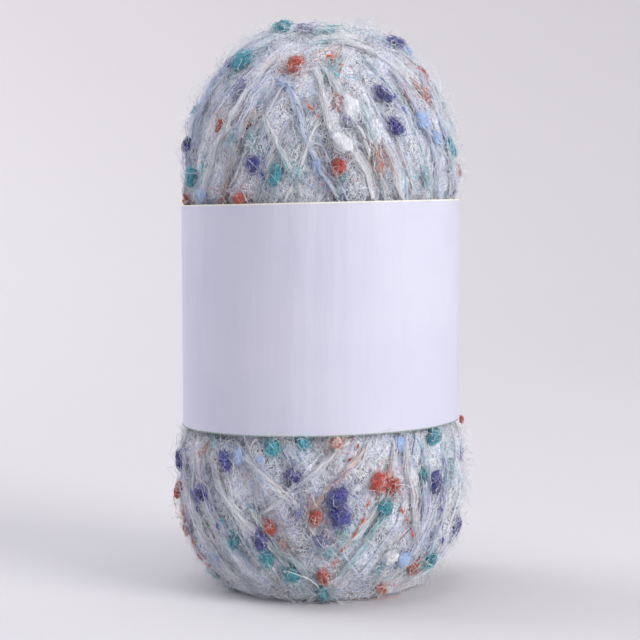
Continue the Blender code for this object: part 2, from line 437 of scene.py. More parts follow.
def mixed(tree, share, first, second, blend="MIX"):
    """The output of a colour mix. Share, first and second are sockets or values."""
    first, second = ((*colour, 1.0) if isinstance(colour, tuple) else colour for colour in (first, second))
    given = {0: share, 6: first, 7: second}
    return node(tree, "ShaderNodeMix", given, data_type="RGBA", blend_type=blend).outputs[2]


def math_node(tree, operation, *given):
    return node(tree, "ShaderNodeMath", dict(enumerate(given)), operation=operation).outputs[0]


def vector_math(tree, operation, *given):
    return node(tree, "ShaderNodeVectorMath", dict(enumerate(given)), operation=operation).outputs[0]


def spread(tree, value, low, high, new_low=0.0, new_high=1.0):
    """A smooth step from the new low to the new high as the value goes from low to high."""
    given = {"Value": value, "From Min": low, "From Max": high, "To Min": new_low, "To Max": new_high}
    return node(tree, "ShaderNodeMapRange", given, interpolation_type="SMOOTHSTEP").outputs["Result"]


def object_place(tree):
    return node(tree, "ShaderNodeTexCoord").outputs["Object"]


def noise(tree, place, scale, detail=2.0, distortion=0.0):
    given = {"Vector": place, "Scale": scale, "Detail": detail, "Distortion": distortion}
    return node(tree, "ShaderNodeTexNoise", given)


def crinkled(tree, place, scale, reach):
    """The place, pushed about by noise of this scale, to bend the lines of a pattern."""
    push = noise(tree, place, scale, detail=3.0).outputs["Color"]
    centred = vector_math(tree, "SUBTRACT", push, (0.5, 0.5, 0.5))
    return vector_math(tree, "ADD", place, vector_math(tree, "MULTIPLY", centred, (reach, reach, reach)))


def web(tree, place, scale, width):
    """1 on the edges of a web of cells and 0 between them, like fibres lying over each other."""
    given = {"Vector": place, "Scale": scale}
    cells = node(tree, "ShaderNodeTexVoronoi", given, feature="DISTANCE_TO_EDGE")
    return spread(tree, cells.outputs["Distance"], width, 0.0)


def ridges(tree, place, stretch, scale, width, lean=0.0):
    """1 on thin wandering lines and 0 between them.

    Stretch is how fast the pattern changes each way, and lean turns it from the upright.
    """
    leaning = node(tree, "ShaderNodeVectorRotate", {"Vector": place, "Angle": lean}, rotation_type="Y_AXIS")
    drawn = vector_math(tree, "MULTIPLY", leaning.outputs["Vector"], stretch)
    value = noise(tree, drawn, scale).outputs["Fac"]
    away = math_node(tree, "ABSOLUTE", math_node(tree, "SUBTRACT", value, 0.5))
    return spread(tree, away, width, width * 0.15)


def bumped(tree, shader, height, distance, strength=1.0):
    """Gives the shader a relief."""
    bump = node(tree, "ShaderNodeBump", {"Strength": strength, "Distance": distance, "Height": height})
    tree.links.new(bump.outputs["Normal"], shader.inputs["Normal"])


def palette_colour(tree, map_name):
    """The colour that a face's place in the palette map names, and its shade from dark to light."""
    place = node(tree, "ShaderNodeUVMap", uv_map=map_name).outputs["UV"]
    apart = node(tree, "ShaderNodeSeparateXYZ", {"Vector": place})
    stops = node(tree, "ShaderNodeValToRGB", {"Fac": apart.outputs["X"]})
    stops.color_ramp.interpolation = "CONSTANT"
    elements = stops.color_ramp.elements
    while len(elements) < len(NUMBERS):
        elements.new(0.5)
    for name, number in NUMBERS.items():
        elements[number].position = number / len(NUMBERS)
        elements[number].color = (*light(*FIBRE_COLOURS[name]), 1.0)
    shade = spread(tree, apart.outputs["Y"], 0.0, 1.0, 0.88, 1.0)
    return mixed(tree, 1.0, stops.outputs["Color"], shade, "MULTIPLY")


def fibre_material():
    made, tree, shader = new_material("brushed_fibre", 0.72, 0.7)
    tree.links.new(palette_colour(tree, "OFBake"), shader.inputs["Base Color"])
    shader.inputs["Sheen Roughness"].default_value = 0.45
    return made


def strand_material():
    made, tree, shader = new_material("spun_strand", 0.8, 0.7)
    place = crinkled(tree, object_place(tree), 700.0, 1.6 * MM)
    hairs = web(tree, place, 1100.0, 0.16)
    colour = palette_colour(tree, "palette")
    shaded = mixed(tree, 1.0, colour, (0.86, 0.86, 0.90), "MULTIPLY")
    tree.links.new(mixed(tree, hairs, shaded, colour), shader.inputs["Base Color"])
    bumped(tree, shader, hairs, 0.2 * MM, 0.7)
    return made


def nub_material():
    made, tree, shader = new_material("knotted_nub", 0.78, 0.5)
    bent = crinkled(tree, object_place(tree), 900.0, 1.6 * MM)
    loops = ridges(tree, bent, (1.0, 1.0, 1.0), 1300.0, 0.05)
    flecks = ridges(tree, bent, (0.8, 1.3, 1.1), 1000.0, 0.022)
    colour = palette_colour(tree, "palette")
    # Painted shade between the loops: the colour multiplied by itself and darkened a little more.
    painted_loop_shade = mixed(tree, 1.0, colour, colour, "MULTIPLY")
    painted_loop_shade = mixed(tree, 1.0, painted_loop_shade, (0.88, 0.88, 0.92), "MULTIPLY")
    colour = mixed(tree, loops, painted_loop_shade, colour)
    colour = mixed(tree, math_node(tree, "MULTIPLY", flecks, 0.4), colour, light(236, 238, 248))
    tree.links.new(colour, shader.inputs["Base Color"])
    bumped(tree, shader, loops, 0.35 * MM)
    return made


def core_material():
    made, tree, shader = new_material("matted_yarn", 0.9, 0.6)
    place = object_place(tree)
    bent = crinkled(tree, place, 500.0, 1.1 * MM)
    long_lines = ridges(tree, bent, (1.0, 1.0, 0.22), 1550.0, 0.052, lean=0.45)
    cross_lines = ridges(tree, bent, (1.0, 1.0, 0.22), 1350.0, 0.047, lean=-0.45)
    fine_lines = ridges(tree, crinkled(tree, place, 1000.0, 1.2 * MM), (1.0, 1.0, 0.8), 1600.0, 0.050)
    hairs = math_node(tree, "MAXIMUM", long_lines, cross_lines)
    hairs = math_node(tree, "MAXIMUM", hairs, math_node(tree, "MULTIPLY", fine_lines, 0.75))
    # Painted shade of the deeper pile fills the gaps between the white hairs: dark and bluish in some
    # patches, lighter in others.
    gap_shade_patches = spread(tree, noise(tree, place, 130.0, detail=4.0).outputs["Fac"], 0.36, 0.58)
    painted_gap_shade = mixed(tree, gap_shade_patches, light(74, 80, 106), light(176, 184, 212))
    tint = noise(tree, place, 75.0, detail=1.0, distortion=1.0).outputs["Color"]
    painted_gap_shade = mixed(tree, 0.18, painted_gap_shade, tint, "OVERLAY")
    colour = mixed(tree, hairs, painted_gap_shade, light(250, 252, 255))
    tree.links.new(colour, shader.inputs["Base Color"])
    bumped(tree, shader, hairs, 0.25 * MM, 0.3)
    return made


def paper_material():
    made, tree, shader = new_material("white_paper", 0.58)
    place = object_place(tree)
    cloud = spread(tree, noise(tree, place, 28.0, detail=3.0).outputs["Fac"], 0.3, 0.7)
    colour = mixed(tree, cloud, light(207, 207, 224), light(212, 212, 227))
    apart = node(tree, "ShaderNodeSeparateXYZ", {"Vector": place})
    tilt = math_node(tree, "MULTIPLY", apart.outputs["X"], SKEW)
    height = math_node(tree, "SUBTRACT", apart.outputs["Z"], tilt)
    # Painted shade along the band's lower edge, dark and greenish, and a painted cream highlight along its
    # upper edge.
    for edge, inward, edge_shading_tone in ((BAND_FOOT, MM, (142, 160, 150)), (BAND_TOP, -MM, (240, 238, 222))):
        painted_edge_shading = spread(tree, height, edge + 0.45 * inward, edge + 0.25 * inward)
        colour = mixed(tree, painted_edge_shading, colour, light(*edge_shading_tone))
    tree.links.new(colour, shader.inputs["Base Color"])
    drawn = vector_math(tree, "MULTIPLY", place, (1.0, 1.0, 0.12))
    creases = noise(tree, drawn, 110.0, detail=3.0).outputs["Fac"]
    grain = noise(tree, place, 1400.0, detail=4.0).outputs["Fac"]
    relief = math_node(tree, "ADD", math_node(tree, "MULTIPLY", creases, 24.0), grain)
    bumped(tree, shader, relief, 0.05 * MM, 0.5)
    shader.inputs["Specular IOR Level"].default_value = 0.4
    return made


def backdrop_material():
    made, tree, shader = new_material("pale_backdrop", 0.75)
    cloud = noise(tree, object_place(tree), 1.2, detail=1.0).outputs["Fac"]
    colour = mixed(tree, cloud, light(216, 214, 216), light(219, 217, 219))
    tree.links.new(colour, shader.inputs["Base Color"])
    shader.inputs["Specular IOR Level"].default_value = 0.2
    return made


# Meshes

def add_object(name, data):
    """An object of the scene that shows this data."""
    made = bpy.data.objects.new(name, data)
    bpy.context.scene.collection.objects.link(made)
    return made


def yarn_piece(name, mesh, material):
    """The mesh as a smooth piece of yarn that rides on the part."""
    mesh.shade_smooth()
    mesh.materials.append(material)
    made = add_object(name, mesh)
    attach(made, "root")
    return made


def new_piece(name, points, triangles, material, palette=None, map_name="OFBake"):
    """A piece that rides on the part. Palette holds a colour number and a shade for each triangle."""
    mesh = bpy.data.meshes.new(name)
    mesh.vertices.add(len(points))
    mesh.vertices.foreach_set("co", np.ascontiguousarray(points, dtype=np.float32).ravel())
    mesh.loops.add(triangles.size)
    mesh.loops.foreach_set("vertex_index", triangles.ravel().astype(np.int32))
    mesh.polygons.add(len(triangles))
    mesh.polygons.foreach_set("loop_start", np.arange(0, triangles.size, 3, dtype=np.int32))
    mesh.update(calc_edges=True)
    if palette is not None:
        column, shade = palette
        corners = np.array([(0.3, 0.0), (0.7, 0.0), (0.5, 0.03)])
        places = np.repeat(corners[None], len(triangles), axis=0)
        places[..., 0] = (places[..., 0] + column[:, None]) / len(NUMBERS)
        places[..., 1] += 0.02 + 0.93 * shade[:, None]
        layer = mesh.uv_layers.new(name=map_name)
        layer.uv.foreach_set("vector", places.astype(np.float32).ravel())
    return yarn_piece(name, mesh, material)


def tubes(centres, radii, sides):
    """Closed tubes with pointed ends, one along each row of centres. Returns points and triangles."""
    count, length = centres.shape[:2]
    along = unit(np.gradient(centres, axis=1))
    start = np.where(np.abs(along[:, 0, 2:]) < 0.8, [[0.0, 0.0, 1.0]], [[1.0, 0.0, 0.0]])
    across = np.empty_like(centres)
    side = start
    for k in range(length):
        side = unit(side - along[:, k] * np.sum(side * along[:, k], axis=1, keepdims=True))
        across[:, k] = side
    over = np.cross(along, across)
    turn = np.arange(sides) * (math.tau / sides)
    spoke = across[:, 1:-1, None] * np.cos(turn)[:, None] + over[:, 1:-1, None] * np.sin(turn)[:, None]
    rings = centres[:, 1:-1, None] + radii[:, 1:-1, None, None] * spoke
    points = np.concatenate([centres[:, :1], rings.reshape(count, -1, 3), centres[:, -1:]], axis=1)

    around = np.arange(sides)
    beside = (around + 1) % sides
    last = (length - 2) * sides + 1
    faces = [np.stack([np.zeros(sides, int), 1 + beside, 1 + around], axis=1)]
    for k in range(length - 3):
        low, high = 1 + k * sides, 1 + (k + 1) * sides
        faces.append(np.stack([low + around, low + beside, high + beside], axis=1))
        faces.append(np.stack([low + around, high + beside, high + around], axis=1))
    faces.append(np.stack([np.full(sides, last), last - sides + around, last - sides + beside], axis=1))
    template = np.concatenate(faces)
    offsets = np.arange(count)[:, None, None] * points.shape[1]
    triangles = (template[None] + offsets).reshape(-1, 3)
    return points.reshape(-1, 3), triangles


class Heap:
    """Gathers meshes and the palette places of their triangles, to be joined as one piece."""

    def __init__(self):
        self.points, self.triangles, self.column, self.shade, self.count = [], [], [], [], 0

    def add(self, points, triangles, column, shade):
        self.points.append(points)
        self.triangles.append(triangles + self.count)
        self.count += len(points)
        self.column.append(np.broadcast_to(column, len(triangles)))
        self.shade.append(np.broadcast_to(shade, len(triangles)))

    def add_tubes(self, centres, radii, sides, columns, shades):
        points, triangles = tubes(centres, radii, sides)
        each = len(triangles) // len(centres)
        self.add(points, triangles, np.repeat(columns, each), np.repeat(shades, each))

    def add_fibres(self, centres, radii, columns, shades):
        share = np.linspace(-1.0, 1.0, centres.shape[1])
        taper = 1.0 - 0.5 * np.abs(share) ** 3
        self.add_tubes(centres, radii[:, None] * taper, FIBRE_SIDES, columns, shades)

    def piece(self, name, material, map_name="OFBake"):
        palette = (np.concatenate(self.column).astype(float), np.concatenate(self.shade))
        joined = np.concatenate(self.points), np.concatenate(self.triangles)
        return new_piece(name, *joined, material, palette, map_name)


# The winding

def ball_outline(tree):
    """Height and distance from the axis along the ball's outline, from the crown to the foot."""
    low, high = (corner.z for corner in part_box("yarn_ball"))
    azimuths = np.radians(np.arange(0, 360, 10))
    rows = [(high, 0.0)]
    for height in np.arange(high - 0.8 * MM, low + 0.2 * MM, -1.0 * MM):
        reach = []
        for start in placed(np.full(len(azimuths), height), np.full(len(azimuths), BAND_RADIUS), azimuths):
            way = Vector((start[0], start[1], 0.0)).normalized()
            hit = tree.ray_cast(Vector((0, 0, start[2])) + 0.1 * way, -way)[0]
            if hit is not None:
                reach.append(math.hypot(hit.x, hit.y))
        rows.append((height, np.percentile(reach, 85)))
    rows.append((low, 0.0))
    return np.array(rows)


def winding_line(outline, end, radius, azimuth):
    """The shortest way over the ball that turns back at an end, at this radius and azimuth.

    Returns points from one leg's far end over the turn to the other's, and the outward directions.
    """
    course = outline if end == "crown" else outline[::-1]
    course = course[course[:, 1] > radius * 1.001]
    height, reach = course.T
    step = np.linalg.norm(np.diff(course, axis=0), axis=1)
    middle = (reach[1:] + reach[:-1]) / 2
    change = np.diff(reach)
    level = np.abs(change) < step * 0.001
    swing = np.arccos(radius / reach)
    along_level = radius * step / (middle * np.sqrt(middle**2 - radius**2))
    along_cone = np.abs(np.diff(swing) * step / np.where(level, 1.0, change))
    turn = np.cumsum(np.concatenate([[swing[0]], np.where(level, along_level, along_cone)]))
    slope = np.gradient(course, axis=0)
    slope /= np.linalg.norm(slope, axis=1)[:, None]
    if end == "foot":
        slope = -slope
    legs, outward = [], []
    for way in (-1, 1):
        angle = azimuth + way * turn
        legs.append(placed(height, reach, angle))
        rise, out = slope[:, 1], -slope[:, 0]
        outward.append(np.stack([out * np.sin(angle), -out * np.cos(angle), rise], axis=-1))
    line = np.concatenate([legs[0][::-1], legs[1]])
    return line, unit(np.concatenate([outward[0][::-1], outward[1]]))


def spaced(line, others, pitch):
    """The line and the values along it at an even pitch, and how far along it each point is."""
    walked = np.concatenate([[0.0], np.cumsum(np.linalg.norm(np.diff(line, axis=0), axis=1))])
    at = np.linspace(0.0, walked[-1], max(4, int(walked[-1] / pitch) + 1))
    picked = [np.stack([np.interp(at, walked, v) for v in values.T], axis=-1) for values in (line, others)]
    return *picked, at


def showing_runs(points):
    """Index ranges of the points that the band doesn't cover."""
    height = band_height(points)
    shows = (height > BAND_TOP - TUCK) | (height < BAND_FOOT + TUCK)
    edges = np.flatnonzero(np.diff(np.concatenate([[0], shows.astype(int), [0]])))
    return [(a, b) for a, b in zip(edges[::2], edges[1::2]) if b - a >= SHORTEST_RUN]


def waves(rng, at, reach, length, count=3):
    """A smooth random curve that goes about this far up and down, its waves about this long."""
    total = np.zeros(len(at))
    for _ in range(count):
        total += np.sin(math.tau * (at / (length * rng.uniform(0.6, 1.6)) + rng.uniform(0, 1)))
    return reach * (total / math.sqrt(count))


def bundle_lines(outline):
    """Each bundle's middle line: points, outward directions, distances along it and lift of its crest."""
    scatter = random.Random(BUNDLE_SEED)
    for end, count, first, step, radius, lift_above, lift_below in LAYERS:
        for k in range(count):
            azimuth = first + k * step + scatter.uniform(-AZIMUTH_SCATTER, AZIMUTH_SCATTER)
            turn_radius = radius + scatter.uniform(-RADIUS_SCATTER, RADIUS_SCATTER)
            line, outward = winding_line(outline, end, turn_radius * MM, math.radians(azimuth))
            line, outward, at = spaced(line, outward, STRAND_PITCH)
            lift = lift_below + (lift_above - lift_below) * ramp(line[:, 2], BAND_FOOT, BAND_TOP)
            yield line, unit(outward), at, lift


def lay_strands(outline):
    """The strands of every bundle, as runs that show: points, outward directions, kind, radii and hue."""
    rng = np.random.default_rng(11)
    camera = np.array(CAMERA_PLACE)
    runs = []
    for line, outward, at, lift in bundle_lines(outline):
        beside = sideways(line, outward)
        for offset in STRAND_OFFSETS:
            shift = offset + waves(rng, at, *STRAND_SWAY)
            crest = lift * np.clip(1.0 - (2.0 * shift / BUNDLE_WIDTH) ** 2, 0.0, 1.0)
            inset = GROOVE_DEPTH * (1.0 - crest) - waves(rng, at, *STRAND_RISE)
            inset += sunk_by(line) - STRAND_LIFT
            strand = line + beside * shift[:, None] - outward * inset[:, None]
            off_floor(strand, STRAND_LOWEST)
            uneven = rng.uniform(0.8, 1.25) * (1.0 + waves(rng, at, 0.2, 9.0 * MM))
            for a, b in showing_runs(strand):
                middle = (a + b) // 2
                seen = bool(np.dot(camera - strand[middle], outward[middle]) > 0.0)
                kind = rng.choice(STRAND_KINDS, p=KIND_SHARES[seen])
                thick = np.maximum(KIND_RADII[kind] * uneven[a:b], 0.0)
                runs.append((strand[a:b], outward[a:b], kind, thick, rng.choice(STRAND_HUES)))
    return runs


# Pieces

def vertex_values(mesh, name):
    """Places or outward directions of the mesh's points, a row each."""
    values = np.empty(len(mesh.vertices) * 3)
    mesh.vertices.foreach_get(name, values)
    return values.reshape(-1, 3)


def make_core(cad):
    """The matted body: the solid's own points, drawn in to leave room for the frizz over them."""
    mesh = bpy.data.meshes.new("yarn_core")
    bm = bmesh.new()
    bm.from_mesh(cad.data)
    bmesh.ops.remove_doubles(bm, verts=bm.verts, dist=WELD)
    bm.to_mesh(mesh)
    bm.free()
    points, outward = vertex_values(mesh, "co"), vertex_values(mesh, "normal")
    rng = np.random.default_rng(5)
    lumps = np.zeros(len(points))
    for _ in range(12):
        way = unit(rng.normal(size=3))
        lumps += np.sin(points @ way * (math.tau / (rng.uniform(6.0, 14.0) * MM)) + rng.uniform(0, math.tau))
    inset = sunk_by(points) + 0.08 * MM * lumps
    off_the_floor = ramp(points[:, 2], 0.3 * MM, 3.0 * MM)
    points -= outward * (inset * off_the_floor)[:, None]
    mesh.vertices.foreach_set("co", points.ravel())
    mesh.update()
    made = yarn_piece("yarn_core", mesh, core_material())
    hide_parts("yarn_ball")
    return made


def photo_line(tree, pixels, step, rounds):
    """A line on the ball through these pixels of the photograph, smoothed, and its outward directions."""
    course = smooth_course(np.array(pixels, dtype=float))
    places = [seen_place(tree, *pixel) for pixel in spaced(course, course, step)[0]]
    line, outward = (np.array(column) for column in zip(*places))
    for _ in range(rounds):
        line[1:-1] = (line[:-2] + 2 * line[1:-1] + line[2:]) / 4
    return line, outward


def seen_strands(tree):
    """The strands that stand out in the photograph, laid on the ball, as runs like the others."""
    rng = np.random.default_rng(13)
    runs = []
    for hue, radius, pixels in SEEN_STRANDS:
        line, outward = photo_line(tree, pixels, 6.0, 3)
        for _ in range(3):
            outward[1:-1] = unit(outward[:-2] + 2 * outward[1:-1] + outward[2:])
        line, outward, at = spaced(line, outward, STRAND_PITCH * 0.6)
        outward = unit(outward)
        height = band_height(line)
        from_band = np.maximum(BAND_FOOT - height, height - BAND_TOP)
        sunk = 1.0 - ramp(np.minimum(at, at[-1] - at), 0.0, SEEN_DIVE)
        sunk *= ramp(from_band, *DIVE_FROM_BAND)
        line += outward * (SEEN_LIFT - DIVE_DEPTH * sunk)[:, None]
        uneven = 1.0 + waves(rng, at, 0.22, 7.0 * MM) + rng.normal(0.0, 0.08, len(at))
        thick = SEEN_CORE * radius * MM * uneven * (1.0 - DIVE_THINNING * sunk)
        beside = sideways(line, outward)
        line += outward * waves(rng, at, *SEEN_RISE)[:, None]
        line += beside * waves(rng, at, *SEEN_SWAY)[:, None]
        off_floor(line, thick + LOWEST)
        runs.append((line, outward, "seen", thick, hue))
    return runs


def smooth_course(pixels):
    """A smooth curve through a few points of the picture."""
    count = len(pixels)
    at = np.arange(count)
    fine = np.linspace(0, count - 1, 8 * (count - 1) + 1)
    slope = np.gradient(pixels, axis=0)
    k = np.minimum(fine.astype(int), count - 2)
    t = (fine - at[k])[:, None]
    first, second = pixels[k], pixels[k + 1]
    curve = (2 * t**3 - 3 * t**2 + 1) * first + (t**3 - 2 * t**2 + t) * slope[k]
    curve += (3 * t**2 - 2 * t**3) * second + (t**3 - t**2) * slope[k + 1]
    return curve


def make_strands(runs):
    """The cores of the strands that aren't bare fibres."""
    rng = np.random.default_rng(21)
    heap = Heap()
    for strand, _, kind, thick, hue in runs:
        if kind != "bare":
            centres = tucked(strand, 0.6 * MM)[None]
            heap.add_tubes(centres, thick[None], STRAND_SIDES, [NUMBERS[hue]], [rng.uniform(0.5, 1.0)])
    heap.piece("yarn_strands", strand_material(), "palette")


def walk(tree, places, ways, steps, pitch, bend, rng, steadiness=0.6):
    """Wandering paths over the ball. Returns their points and outward directions, one row a path."""
    count = len(places)
    line = np.empty((count, steps + 1, 3))
    outward = np.empty_like(line)
    turning = rng.normal(0.0, bend, count)
    for k in range(steps + 1):
        for i in range(count):
            line[i, k], outward[i, k] = tree.find_nearest(places[i])[:2]
        up = outward[:, k]
        ways = unit(ways - up * np.sum(ways * up, axis=1, keepdims=True))
        turning = steadiness * turning + rng.normal(0.0, bend, count)
        ways = ways * np.cos(turning)[:, None] + np.cross(up, ways) * np.sin(turning)[:, None]
        places = line[:, k] + ways * pitch[:, None]
    return line, outward


def scattered(core, rng, count):
    """Random places spread evenly over the part of the core that shows."""
    mesh = core.data
    mesh.calc_loop_triangles()
    corners = np.empty(len(mesh.loop_triangles) * 3, dtype=np.int32)
    mesh.loop_triangles.foreach_get("vertices", corners)
    points = vertex_values(mesh, "co")
    a, b, c = (points[corners[k::3]] for k in range(3))
    area = np.linalg.norm(np.cross(b - a, c - a), axis=1)
    height = band_height((a + b + c) / 3)
    covered = (height > BAND_FOOT + 1.5 * MM) & (height < BAND_TOP - 1.5 * MM)
    area = np.where(covered | (height < 0.5 * MM), 0.0, area)
    chosen = rng.choice(len(area), count, p=area / area.sum())
    share = rng.uniform(size=(count, 2))
    share = np.where(share.sum(axis=1, keepdims=True) > 1.0, 1.0 - share, share)
    return a[chosen] + (b - a)[chosen] * share[:, :1] + (c - a)[chosen] * share[:, 1:]


def tucked(points, room, over=0.0):
    """The points, those at the band's height brought in under its paper.

    Over is how far beyond its edges they may hang over it.
    """
    height = band_height(points)
    behind = ramp(height - over, BAND_FOOT - 0.4 * MM, BAND_FOOT + 0.8 * MM)
    behind *= 1.0 - ramp(height + over, BAND_TOP - 0.8 * MM, BAND_TOP + 0.4 * MM)
    reach = np.hypot(points[..., 0], points[..., 1])
    limit = BAND_RADIUS - PAPER - room
    scale = 1.0 - behind * np.maximum(0.0, 1.0 - limit / np.maximum(reach, limit * 0.5))
    moved = points.copy()
    moved[..., :2] *= scale[..., None]
    return moved


def walked_fibres(heap, tree, rng, places, ways, hues, length, bend, rise, radii=FIBRE_RADII,
                  loose=None, steps=FIBRE_STEPS):
    """Adds fine fibres that wander over the ball. Loose is the share whose tips stand free."""
    count = len(places)
    pitch = rng.uniform(*length, count) / steps
    line, outward = walk(tree, places, ways, steps, pitch, bend, rng)
    along = np.linspace(0.0, 1.0, steps + 1)
    top = rng.uniform(0.0, 1.0, count) ** 1.6 * (rise[1] - rise[0]) + rise[0]
    arch = np.sin(math.pi * along) ** 0.6
    free = np.sin(0.5 * math.pi * along) ** 1.2
    shape = np.where(rng.uniform(size=(count, 1)) < (loose or 0.0), free, arch)
    height = top[:, None] * shape + rng.normal(0.0, 0.15 * MM, shape.shape) - 0.1 * MM
    line = line + outward * height[..., None] + rng.normal(0.0, 0.12 * MM, line.shape)
    line = tucked(line, 0.1 * MM, 0.0 if loose is None else 0.8 * MM)
    off_floor(line)
    heap.add_fibres(line, rng.uniform(*radii, count), hues, rng.uniform(0.0, 1.0, count))


def random_ways(rng, count):
    return unit(rng.normal(size=(count, 3)))


def pick_hues(rng, names, count):
    return rng.choice(np.array([NUMBERS[name] for name in names]), count)


def finder_of(points):
    """A search tree that finds the nearest of these points."""
    finder = KDTree(len(points))
    for i, point in enumerate(points):
        finder.insert(point, i)
    finder.balance()
    return finder


def tinted(rng, places, hues, nubs):
    """The fibres' colours, those near a nub turned towards its own."""
    finder = finder_of([nub[0] for nub in nubs])
    hues = hues.copy()
    for k, place in enumerate(places):
        _, i, away = finder.find(place)
        colour = nubs[i][3].split()[-1]
        crisp = not nubs[i][3].startswith("faint") and away < CRISP_REACH
        nearness = 1.0 if crisp else math.exp(-away / TINT_REACH)
        if rng.uniform() < TINT_CHANCES[crisp] * nearness:
            full = rng.uniform() < FULL_TINT_CHANCES[crisp]
            hues[k] = NUMBERS[colour if full else SHADES[colour][1]]
    return hues


def make_mat(core, tree, nubs, material):
    """The frizz that covers the ball between its strands."""
    rng = np.random.default_rng(31)
    for name in ("frizz_one", "frizz_two"):
        heap = Heap()
        places = scattered(core, rng, FRIZZ_COUNT)
        hues = tinted(rng, places, pick_hues(rng, FRIZZ_HUES, FRIZZ_COUNT), nubs)
        walked_fibres(heap, tree, rng, places, random_ways(rng, FRIZZ_COUNT), hues,
                      length=(7 * MM, 12 * MM), bend=0.75, rise=(0.1 * MM, 1.8 * MM), steps=6)
        heap.piece(name, material)


def streaks_along(rng, fine, others, count):
    """Fibres scattered round a strand. Others holds its outward directions and its radius."""
    first = rng.integers(0, len(fine) - FIBRE_STEPS, count)
    rows = first[:, None] + np.arange(FIBRE_STEPS + 1)
    line, outward = fine[rows], unit(others[rows, :3])
    beside = sideways(line, outward)
    along = np.linspace(0.0, 1.0, FIBRE_STEPS + 1)
    spread_out = STREAK_SPREAD * (1.0 + 0.6 * np.abs(rng.normal(size=(count, 1))))
    reach = others[rows, 3] * 0.8 + np.abs(rng.normal(0.0, 1.0, (count, 1))) * spread_out
    angle = rng.uniform(-0.5, math.pi + 0.5, (count, 1)) + rng.normal(0.0, 1.3, (count, 1)) * along
    for way, turned in ((beside, np.cos(angle)), (outward, np.sin(angle))):
        line = line + way * (reach * turned + rng.normal(0.0, 0.13 * MM, angle.shape))[..., None]
    off_floor(line)
    return tucked(line, 0.1 * MM)


def make_streaks(runs, nubs, material):
    """The fibres that are spun along the strands and make them soft."""
    rng = np.random.default_rng(33)
    stretches = []
    for strand, outward, kind, thick, hue in runs:
        fine, others, _ = spaced(strand, np.column_stack([outward, thick]), STREAK_PITCH)
        count = len(fine) - FIBRE_STEPS
        if count > 0:
            stretches.append((fine, others, NUMBERS[hue], KIND_FIBRES[kind] * count))
    weights = np.array([stretch[3] for stretch in stretches])
    shares = weights / weights.sum()
    for name in ("streaks_one", "streaks_two"):
        heap = Heap()
        for (fine, others, hue, _), share in zip(stretches, shares):
            count = int(round(share * STREAK_COUNT + rng.uniform(-0.5, 0.5)))
            if count < 1:
                continue
            line = streaks_along(rng, fine, others, count)
            own = np.where(rng.uniform(size=count) < 0.8, hue, pick_hues(rng, FRIZZ_HUES, count))
            own = tinted(rng, line[:, FIBRE_STEPS // 2], own, nubs)
            heap.add_fibres(line, rng.uniform(*FIBRE_RADII, count), own, rng.uniform(0.2, 1.0, count))
        heap.piece(name, material)


def make_halo(core, tree, material):
    """The long fine hairs that stand out from the ball."""
    rng = np.random.default_rng(35)
    heap = Heap()
    places = scattered(core, rng, HALO_COUNT)
    hues = pick_hues(rng, HALO_HUES, HALO_COUNT)
    walked_fibres(heap, tree, rng, places, random_ways(rng, HALO_COUNT), hues,
                  length=(4 * MM, 10 * MM), bend=0.6, rise=(1.0 * MM, 4.6 * MM),
                  radii=(0.03 * MM, 0.055 * MM), loose=0.5, steps=4)
    heap.piece("halo", material)


def seen_place(tree, x, y):
    """The point of the ball that shows at this pixel of the photograph, and its outward direction."""
    across = (x - PICTURE_SIDE / 2) / PICTURE_SIDE * SENSOR
    up = (PICTURE_SIDE / 2 - y) / PICTURE_SIDE * SENSOR
    ray = Vector((across, LENS, up)).normalized()
    cosine, sine = math.cos(CAMERA_PITCH), math.sin(CAMERA_PITCH)
    ray = Vector((ray.x, ray.y * cosine + ray.z * sine, ray.z * cosine - ray.y * sine))
    eye = Vector(CAMERA_PLACE)
    hit, normal, _, _ = tree.ray_cast(eye, ray)
    if hit is None:
        hit, normal, _, _ = tree.find_nearest(eye + ray * abs(CAMERA_PLACE[1]))
    return np.array(hit), np.array(normal)


def hidden(place, outward):
    """Whether the camera doesn't see this place, and the band and the ends of the ball are clear of it."""
    facing = np.dot(unit(np.array(CAMERA_PLACE) - place), outward)
    turned_away = facing <= (-0.6 if place[2] > 140 * MM else -0.38)
    height = band_height(place)
    covered = BAND_FOOT - NUB_FROM_BAND < height < BAND_TOP + NUB_FROM_BAND
    at_an_end = height < NUB_FROM_FLOOR or math.hypot(place[0], place[1]) < NUB_FROM_AXIS
    return turned_away and not covered and not at_an_end


def nub_list(tree, runs):
    """Every nub: place, outward direction, direction along its strand, colour, length and width."""
    rng = np.random.default_rng(41)
    points = np.concatenate([run[0][1:-1] for run in runs])
    ways = unit(np.concatenate([np.gradient(run[0], axis=0)[1:-1] for run in runs]))
    finder = finder_of(points)
    nubs = []
    for x, y, colour, length, width in FRONT_NUBS:
        place, outward = seen_place(tree, x, y)
        nubs.append((place, outward, ways[finder.find(place)[1]], colour, length * MM, width * MM))
    nubs.append((*BESIDE_BAND, "orange", 2.8 * MM, 2.0 * MM))
    for i in rng.integers(len(points), size=NUB_TRIES):
        hit, normal, _, _ = tree.find_nearest(points[i])
        place, outward = np.array(hit), np.array(normal)
        crowded = any(np.linalg.norm(place - other[0]) < NUB_DISTANCE for other in nubs)
        if hidden(place, outward) and not crowded:
            colour = HIDDEN_COLOURS[len(nubs) % len(HIDDEN_COLOURS)]
            length, width = rng.uniform(4.8, 6.8), rng.uniform(3.2, 5.0)
            nubs.append((place, outward, ways[i], colour, length * MM, width * MM))
    return nubs


def unit_ball(fineness):
    """Points and triangles of a ball of radius 1."""
    bm = bmesh.new()
    bmesh.ops.create_icosphere(bm, subdivisions=fineness, radius=1.0)
    points = np.array([v.co for v in bm.verts])
    triangles = np.array([[v.index for v in f.verts] for f in bm.faces])
    bm.free()
    return points, triangles


